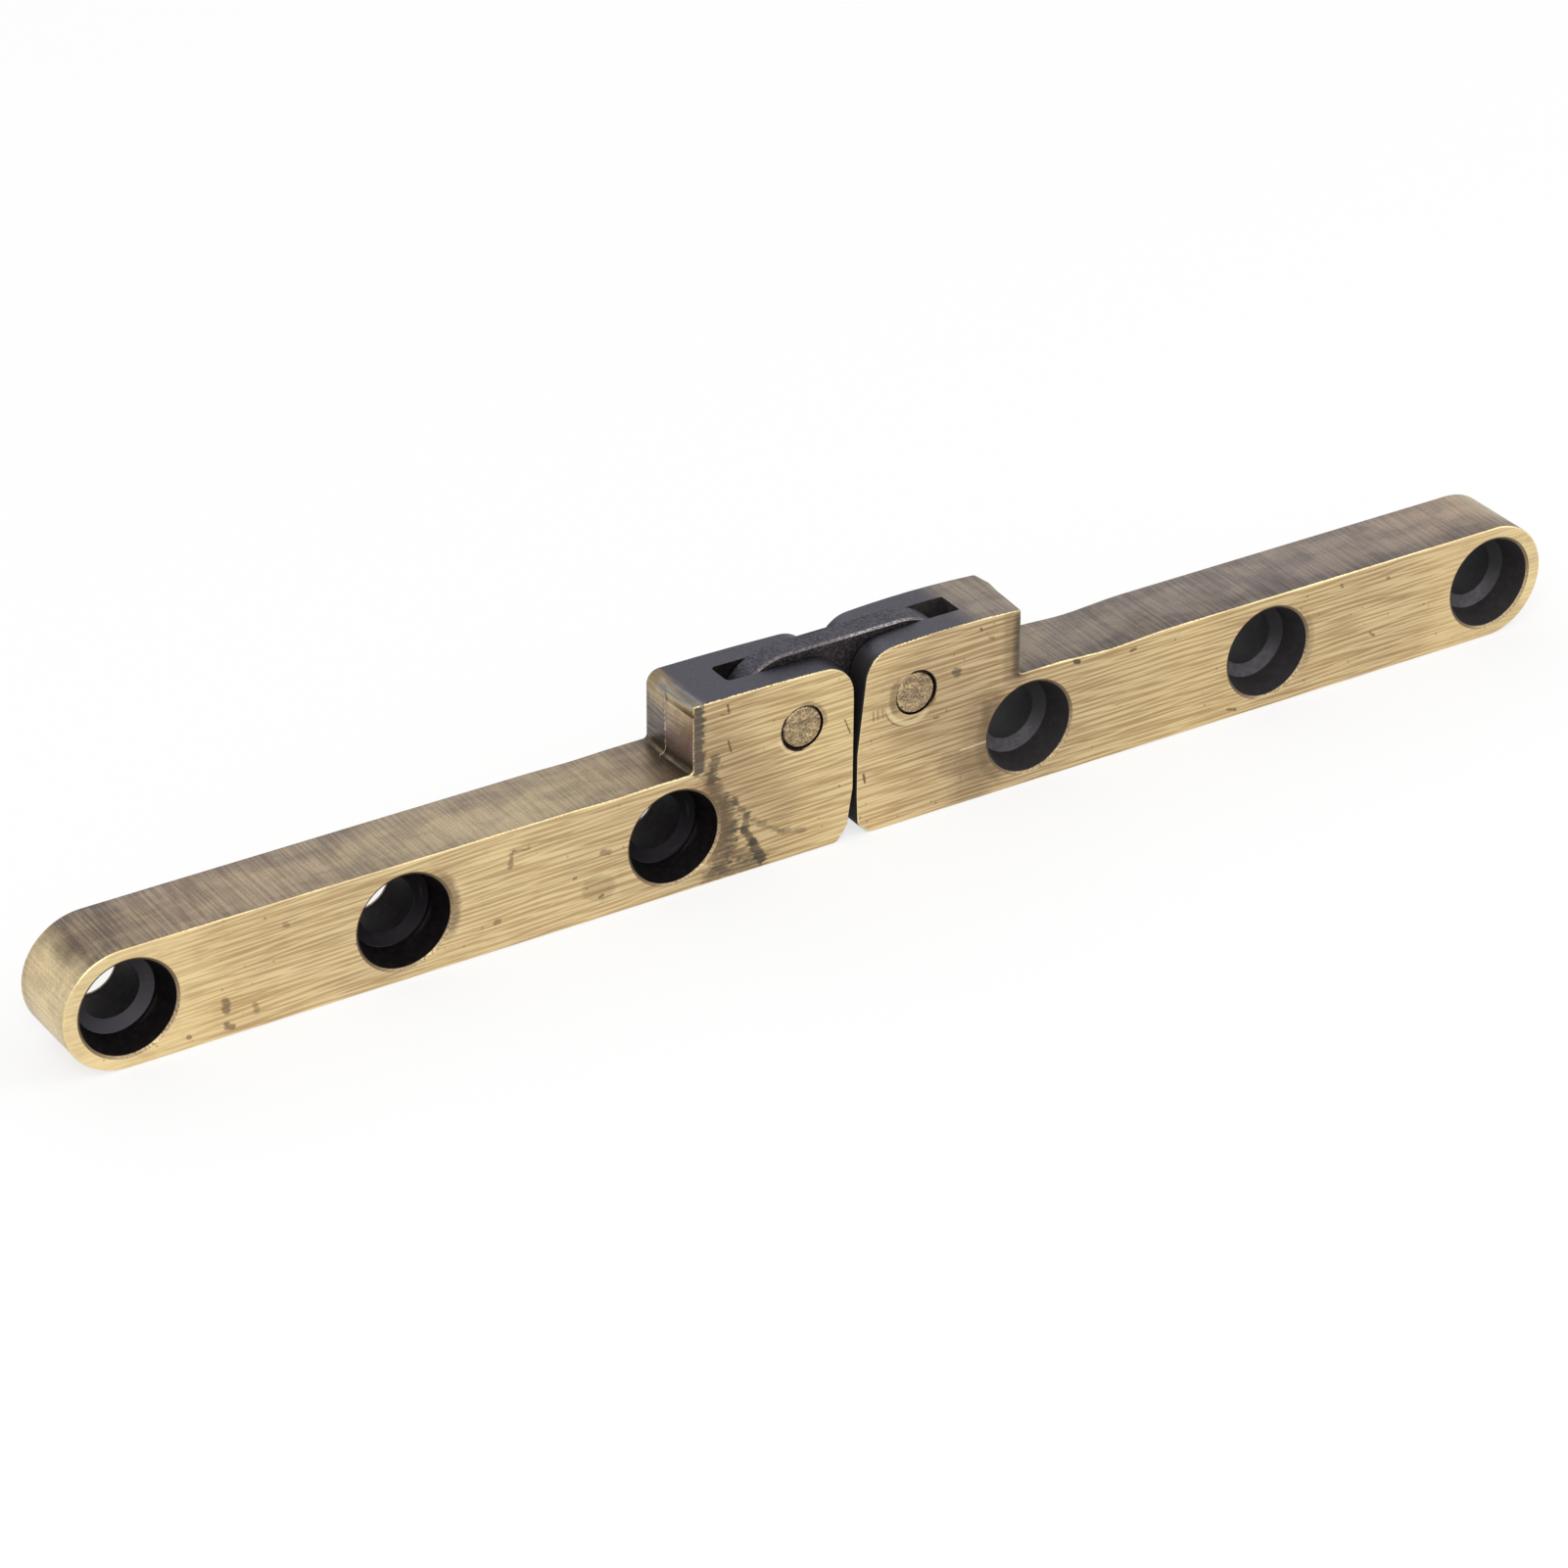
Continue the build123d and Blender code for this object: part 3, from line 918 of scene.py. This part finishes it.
RIGHT_MARKS = [
    *marks(Mark.SMOKE, (6.0, 12.0, 14.0, 6.0, 2.2, 3.5, 1.5, 0.20)),
    *marks(Mark.STAIN_AND_SHADE, (10.2, 13.4, 10.4, 13.3, 0.20, 0.42, 0.4, 0.62)),
    *marks(
        Mark.SCRATCH,
        (0.85, 6.0, 1.0, 5.2, 0.07, 0.12, 0.1, 0.80), (1.75, 11.9, 1.8, 11.0, 0.03, 0.08, 0.1, 0.55),
        (2.2, 11.9, 2.25, 11.0, 0.03, 0.08, 0.1, 0.50), (2.7, 11.9, 2.75, 11.1, 0.03, 0.08, 0.1, 0.45),
    ),
    *marks(Mark.BARE, (5.7, 12.3, 2.50, 250, 68, 0.12, 0.25, 0.2, 0.45)),
    *marks(Mark.SCRATCH, (5.7, 12.3, 2.82, 225, 40, 0.03, 0.10, 0.1, 0.60)),
    *marks(Mark.SMOKE, (6.1, 12.5, 2.35, 175, 50, 0.18, 0.35, 0.3, 0.55)),
    *marks(Mark.GAP, (6.1, 12.5, 2.10, 30, 80, 0.05, 0.07, 0.05, 1.0)),
    *marks(Mark.SCRATCH, (7.3, 10.9, 8.0, 11.3, 0.12, 0.20, 0.3, 0.50)),
    *marks(
        Mark.SMOKE,
        # The two arcs are painted shade beside the screw recesses
        (18.2, 5.6, 4.90, 180, 62, 0.30, 0.9, 0.5, 0.50), (44.2, 5.6, 4.70, 0, 45, 0.15, 0.5, 0.4, 0.35),
        (12.0, 1.0, 13.4, 8.8, 0.9, 2.2, 1.0, 0.34),
    ),
    *marks(
        Mark.SCRATCH,
        (12.75, 16.9, 12.85, 16.7, 0.06, 0.10, 0.1, 0.80), (13.7, 15.8, 14.1, 15.6, 0.08, 0.14, 0.2, 0.45),
        (8.1, 9.45, 8.5, 9.4, 0.08, 0.12, 0.2, 0.50),
    ),
    *marks(
        Mark.SMOKE,
        (9.6, 4.4, 12.6, 3.4, 0.8, 0.8, 0.8, 0.30), (13.5, 9.2, 13.9, 5.0, 0.15, 0.6, 0.5, 0.50),
    ),
    *marks(Mark.BARE, (11.0, 5.45, 14.0, 5.5, 0.03, 0.10, 0.1, 0.55)),
    *marks(Mark.STAIN_AND_SHADE, (22.9, 10.75, 23.3, 10.6, 0.14, 0.16, 0.2, 0.85)),
    # Painted shade along the block's outer front edge, in two strokes
    *marks(Mark.SMOKE, (16.6, 17.0, 16.7, 11.5, 0.9, 1.0, 0.5, 0.45)),
    *marks(Mark.STAIN_AND_SHADE, (16.9, 16.6, 16.9, 11.6, 0.30, 0.8, 0.4, 0.75)),
    *marks(
        Mark.SCRATCH,
        (28.9, 10.1, 29.4, 10.2, 0.08, 0.12, 0.2, 0.70), (39.9, 1.0, 40.8, 0.7, 0.08, 0.14, 0.2, 0.65),
        (52.1, 10.2, 52.3, 10.0, 0.09, 0.14, 0.2, 0.55), (57.4, 9.5, 57.6, 9.4, 0.09, 0.14, 0.2, 0.55),
        (55.8, 4.3, 56.3, 3.9, 0.06, 0.12, 0.2, 0.60),
    ),
]


def tube(name: str, grid: np.ndarray, turned: bool = False, flat: tuple[int, ...] = ()) -> bpy.types.Mesh:
    """Join rows of points into a closed surface.

    Each row closes on itself, and the first and the last get a flat cap.

    Args:
        name: The mesh's name.
        grid: Points in millimetres, by row and column.
        turned: Whether the faces have to be turned round to face outwards.
        flat: The columns whose faces are shaded flat.

    Returns:
        The mesh, in metres.
    """
    rows, columns = grid.shape[:2]
    row, column = np.meshgrid(np.arange(rows - 1), np.arange(columns), indexing="ij")
    here = row * columns + column
    beside = row * columns + (column + 1) % columns
    faces = np.stack([here, beside, beside + columns, here + columns], axis=-1).reshape(-1, 4).tolist()
    faces.append(list(range(columns))[::-1])
    faces.append([(rows - 1) * columns + k for k in range(columns)])
    if turned:
        faces = [face[::-1] for face in faces]
    mesh = bpy.data.meshes.new(name)
    mesh.from_pydata((grid.reshape(-1, 3) * MM).tolist(), [], faces)
    smooth = np.append(~np.isin(column.ravel(), flat), [False, False])
    mesh.polygons.foreach_set("use_smooth", smooth)
    mesh.validate()
    return mesh


def add_piece(mesh: bpy.types.Mesh, material: bpy.types.Material, body: str) -> None:
    """Put a new brass piece into the scene and let it ride on a body."""
    piece = bpy.data.objects.new(mesh.name, mesh)
    bpy.context.scene.collection.objects.link(piece)
    dress(piece, material)
    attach(piece, body)
    log.info("made %s", mesh.name)


@dataclass(frozen=True)
class CrestCorner:
    """The sharper front part of the crest on a block's outer end.

    The CAD rounds the whole crest evenly, as the back of it is. This piece
    fills the corner in front of that. Distances are counted outwards from the
    joint, and the profiles give a distance or a radius at depths along Y. Where
    the radius passes that of the CAD, the piece ends inside the leaf.
    """

    name: str
    side: int
    reach: tuple[Point, ...]
    radius: tuple[Point, ...]
    top: float
    slope: float
    crest: float
    edge: float = 0.22
    sunk: float = 0.004
    flat_rim: float = 0.02
    inner_margin: float = 0.35
    edge_steps: int = 8
    depth_steps: int = 40
    turn_steps: int = 14

    def build(self, material: bpy.types.Material, body: str) -> None:
        """Make the corner as a closed surface and let it ride on a body.

        At depth y the section follows the leaf's own outline: the top line, an
        arc of radius r(y) and the end face, all moved inwards by e(y). The front
        edge is a quarter circle of radius f, with turn p from 0 to 90 degrees:
        y = front + f (1 - cos p), e = f (1 - sin p). An arc point whose normal
        leans outwards by t lies at the arc's centre + (r - e) (sin t, cos t).
        A straight line inside the leaf closes the section.
        """
        front, back = self.radius[0][0], self.radius[-1][0]
        turn = np.linspace(0.0, np.pi / 2, self.edge_steps)
        depth = np.linspace(front + self.edge, back, self.depth_steps)[1:]
        y = np.concatenate([front + self.edge * (1 - np.cos(turn)), depth])[:, None]
        inset = np.concatenate([self.edge * (1 - np.sin(turn)), 0 * depth])[:, None] + self.sunk
        reach = np.interp(y, *zip(*self.reach))
        radius = np.interp(y, *zip(*self.radius))
        tilt = math.atan(self.slope)
        height = self.top - self.slope * (reach - self.reach[0][1])
        centre_out = reach - radius
        centre_up = height - radius * (1 - math.sin(tilt)) / math.cos(tilt)
        lean = np.linspace(tilt, np.pi / 2, self.turn_steps)[None, :]
        out = centre_out + (radius - inset) * np.sin(lean)
        up = centre_up + (radius - inset) * np.cos(lean)

        # Flat stretches on both sides of the arc keep its shading to itself
        inner = self.crest + self.inner_margin
        inward = np.concatenate([out[:, :1] - (reach - inner), 0 * y + self.flat_rim], axis=1)
        foot = reach - inset
        out = np.concatenate([out[:, :1] - inward, out, foot, foot], axis=1)
        rim = up[:, -1:] - self.flat_rim
        up = np.concatenate([up[:, :1] + inward * self.slope, up, rim, height - inner], axis=1)
        depths = np.broadcast_to(np.maximum(y, front + self.sunk), out.shape)
        grid = np.stack([self.side * out, depths, up], axis=-1)
        closing = grid.shape[1] - 1
        add_piece(tube(self.name, grid, turned=self.side < 0, flat=(closing,)), material, body)


@dataclass(frozen=True)
class FlashRidge:
    """A hair of casting flash, left standing where the two halves of the mould met.

    The ridge follows a path on the surface. Its section is a low hump, half a
    sine wave tall and wide, whose width and height swell and shrink along it.
    """

    name: str
    path: tuple[Triple, ...]
    outward: Triple
    half_width: float
    height: float
    stations: int = 90
    around: int = 9

    def build(self, material: bpy.types.Material, body: str) -> None:
        """Make the ridge as a closed surface and let it ride on a body.

        A point at share u along the path and v across it, both 0 to 1, lies at
        path(u) plus the side direction times width(u) times (2v - 1), plus the
        outward direction times height(u) times sin(pi v). The last column runs
        back under the hump, so the surface closes.
        """
        corners = np.array(self.path)
        legs = np.linalg.norm(np.diff(corners, axis=0), axis=1)
        walked = np.concatenate([[0.0], np.cumsum(legs)]) / legs.sum()
        u = np.linspace(0.0, 1.0, self.stations)
        line = np.stack([np.interp(u, walked, corners[:, k]) for k in range(3)], axis=1)
        ahead = np.gradient(line, axis=0)
        ahead /= np.linalg.norm(ahead, axis=1, keepdims=True)
        out = np.array(self.outward, float)
        side = np.cross(ahead, out)
        side /= np.linalg.norm(side, axis=1, keepdims=True)
        swell = 0.72 + 0.18 * np.sin(23.0 * u) + 0.10 * np.sin(61.0 * u + 1.0)
        taper = np.clip(12.0 * u * (1.0 - u), 0.0, 1.0) ** 0.5
        v = np.linspace(0.0, 1.0, self.around)
        across = np.concatenate([2 * v - 1, [0.0]])
        rise = np.concatenate([np.sin(np.pi * v), [-0.6]])
        width = (self.half_width * swell * (0.15 + 0.85 * taper))[:, None]
        tall = (self.height * swell * taper)[:, None]
        grid = (
            line[:, None, :]
            + side[:, None, :] * (width * across)[..., None]
            + out * (tall * rise)[..., None]
        )
        add_piece(tube(self.name, grid), material, body)


@dataclass(frozen=True)
class BareMetal:
    """Plain rubbed metal with a faint grain, for hairs of flash."""

    name: str
    colour: Colour

    def build(self, effects: Effects) -> bpy.types.Material:
        """Make the material."""
        material, tree, surface = metal(self.name)
        here = Spot(tree, effects, cloud_size=1.0)
        colour = tree.blend(here.clouds, self.colour, (146, 134, 122))
        tree.feed(surface, {"Base Color": colour, "Roughness": 0.45})
        return material


@dataclass
class Leaf:
    """One leaf of the hinge, with the finish of its faces and the front of its crest."""

    node: str
    finish: LeafFinish
    corner: CrestCorner

    def build(self, frame: dict, effects: Effects) -> None:
        """Dress the leaf's CAD node and add the corner in the same metal."""
        material = self.finish.build(effects)
        dress(frame["nodes"][self.node], material)
        log.info("dressed %s", self.node)
        self.corner.build(material, self.node)


@dataclass
class Knuckle:
    """The link and the two pins it turns on."""

    link: LinkFinish
    pins: PinFinish

    def build(self, frame: dict, effects: Effects) -> None:
        """Dress the link and both pins."""
        dress(frame["nodes"]["link"], self.link.build(effects))
        material = self.pins.build(effects)
        for node in ("left_pin", "right_pin"):
            dress(frame["nodes"][node], material)
        log.info("dressed the link and the pins")


@dataclass
class Studio:
    """A pale floor, soft light all round and a camera at the photograph's angle."""

    camera_place: Triple = (-0.23169, -0.35284, 0.24564)
    azimuth: float = -32.743
    elevation: float = 29.849
    roll: float = 0.479
    lens: float = 128.94
    floor_size: float = 3.0
    floor_tone: float = 0.86
    floor_glow: float = 0.72
    surround: float = 0.75
    lamp_size: float = 0.7

    def build(self) -> None:
        """Set up the world, the floor, the lamps and the camera."""
        self._world()
        self._floor()
        self._lamp("key", (-0.55, -0.75, 0.95), 6.5)
        self._lamp("fill", (0.75, -0.45, 0.70), 3.0)
        self._lamp("back", (0.1, 0.9, 0.8), 1.0)
        self._camera()
        bpy.context.scene.view_settings.view_transform = "Standard"

    @staticmethod
    def _seen(tree: Tree) -> Signal:
        """A mask that is 1 for rays that show the background."""
        rays = tree.outputs(tree.add("LightPath"))
        return rays["Is Camera Ray"] | rays["Is Glossy Ray"] | rays["Is Transmission Ray"]

    def _world(self) -> None:
        """White where it is seen, a plain level of light elsewhere."""
        world = bpy.data.worlds.new("studio")
        world.use_nodes = True
        tree = Tree(world.node_tree)
        light = tree.put("Background", {"Color": WHITE, "Strength": self.surround})
        white = tree.put("Background", {"Color": WHITE, "Strength": 1.0})
        choice = tree.put("MixShader", {0: self._seen(tree), 1: light, 2: white})
        tree.feed(tree.add("OutputWorld"), {"Surface": choice})
        bpy.context.scene.world = world

    def _floor(self) -> None:
        """A white floor that keeps the object's shadow."""
        half = self.floor_size / 2
        corners = [(-half, -half, 0), (half, -half, 0), (half, half, 0), (-half, half, 0)]
        mesh = bpy.data.meshes.new("floor")
        mesh.from_pydata(corners, [], [(0, 1, 2, 3)])
        floor = bpy.data.objects.new("floor", mesh)
        bpy.context.scene.collection.objects.link(floor)
        material = bpy.data.materials.new("floor_white")
        material.use_nodes = True
        tree = Tree(material.node_tree)
        tone = self.floor_tone
        paper = tree.put("BsdfDiffuse", {"Color": (tone, tone, tone, 1.0)})
        glow = tree.put("Emission", {"Color": WHITE, "Strength": 1.0})
        choice = tree.put("MixShader", {0: self._seen(tree) * self.floor_glow, 1: paper, 2: glow})
        tree.feed(tree.add("OutputMaterial"), {"Surface": choice})
        dress(floor, material)

    def _lamp(self, name: str, place: Triple, power: float) -> None:
        """Hang a soft square lamp that faces the middle of the hinge."""
        data = bpy.data.lights.new(name, "AREA")
        data.shape = "SQUARE"
        data.size = self.lamp_size
        data.energy = power
        lamp = bpy.data.objects.new(name, data)
        lamp.location = place
        lamp.rotation_euler = (-Vector(place)).to_track_quat("-Z", "Y").to_euler()
        bpy.context.scene.collection.objects.link(lamp)

    def _camera(self) -> None:
        """Place the camera from its azimuth, elevation and roll."""
        azimuth, elevation, roll = (math.radians(a) for a in (self.azimuth, self.elevation, self.roll))
        ahead = Vector((math.sin(azimuth), -math.cos(azimuth), 0.0))
        back = ahead * math.cos(elevation) + Vector((0.0, 0.0, math.sin(elevation)))
        level = Vector((math.cos(azimuth), math.sin(azimuth), 0.0))
        upright = back.cross(level)
        right = level * math.cos(roll) + upright * math.sin(roll)
        up = upright * math.cos(roll) - level * math.sin(roll)
        data = bpy.data.cameras.new("camera")
        data.sensor_width = 36.0
        data.lens = self.lens
        data.clip_start = 0.01
        camera = bpy.data.objects.new("camera", data)
        turn = Matrix((right, up, back)).transposed().to_4x4()
        camera.matrix_world = Matrix.Translation(self.camera_place) @ turn
        bpy.context.scene.collection.objects.link(camera)
        bpy.context.scene.camera = camera


def main() -> None:
    """Load the frame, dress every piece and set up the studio."""
    logging.basicConfig(level=logging.INFO, format="%(name)s: %(message)s")
    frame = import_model()
    record = frame["record"]
    effects = Effects()
    left = LeafFinish(
        "left_leaf_brass", ScrewRow.from_record(record, "left"), FACE_LEFT, TOP_LEFT, LEFT_MARKS,
        block_top_end=(120, 104, 84), block_fade=(15.0, 16.8), front_shade=0.15, back_shade=0.45,
        streak_slope=0.035, tip=(238, 217, 172), seat=(46, 43, 46), silvered_crest=1.0, tool_rings=0.35,
        recess_metal=1.0, tip_dust=0.85,
    )
    right = LeafFinish(
        "right_leaf_brass", ScrewRow.from_record(record, "right"), FACE_RIGHT, TOP_RIGHT, RIGHT_MARKS,
        block_top_end=(132, 123, 118), block_fade=(10.5, 14.5), front_shade=0.72, back_shade=0.0,
        shoulder_shade=0.26, streak_slope=0.02, tip=(215, 196, 156), seat=(88, 84, 90),
        silvered_crest=0.25, block_top=(80, 79, 87),
    )
    left_corner = CrestCorner(
        "left_crest_corner", side=-1, reach=((-3.85, 16.332), (0.3, 16.55), (3.85, 16.364)),
        radius=((-3.85, 0.25), (0.3, 0.42), (1.6, 0.80), (3.1, 1.30)), top=17.6, slope=0.0, crest=1.2,
    )
    right_corner = CrestCorner(
        "right_crest_corner", side=1, reach=((-3.85, 16.961), (2.1, 17.85)),
        radius=((-3.85, 0.26), (1.5, 0.90)), top=17.569, slope=0.072, crest=0.8,
    )
    Leaf("left_leaf", left, left_corner).build(frame, effects)
    Leaf("right_leaf", right, right_corner).build(frame, effects)
    Knuckle(LinkFinish(), PinFinish()).build(frame, effects)

    flash = BareMetal("flash_metal", (214, 204, 186)).build(effects)
    seam = FlashRidge(
        "seam_flash", ((-16.54, 0.3, 11.9), (-16.55, 0.3, 14.2), (-16.55, 0.3, 17.25)), (-1.0, 0.0, 0.0),
        half_width=0.15, height=0.08,
    )
    whisker = FlashRidge(
        "foot_flash",
        ((-16.55, 0.2, 12.05), (-16.61, 0.28, 11.60), (-16.78, 0.36, 11.34), (-17.1, 0.4, 11.21)),
        (-0.7, 0.0, 0.7), half_width=0.06, height=0.08,
    )
    for ridge in (seam, whisker):
        ridge.build(flash, "left_leaf")

    Studio().build()


if __name__ == "__main__":
    main()
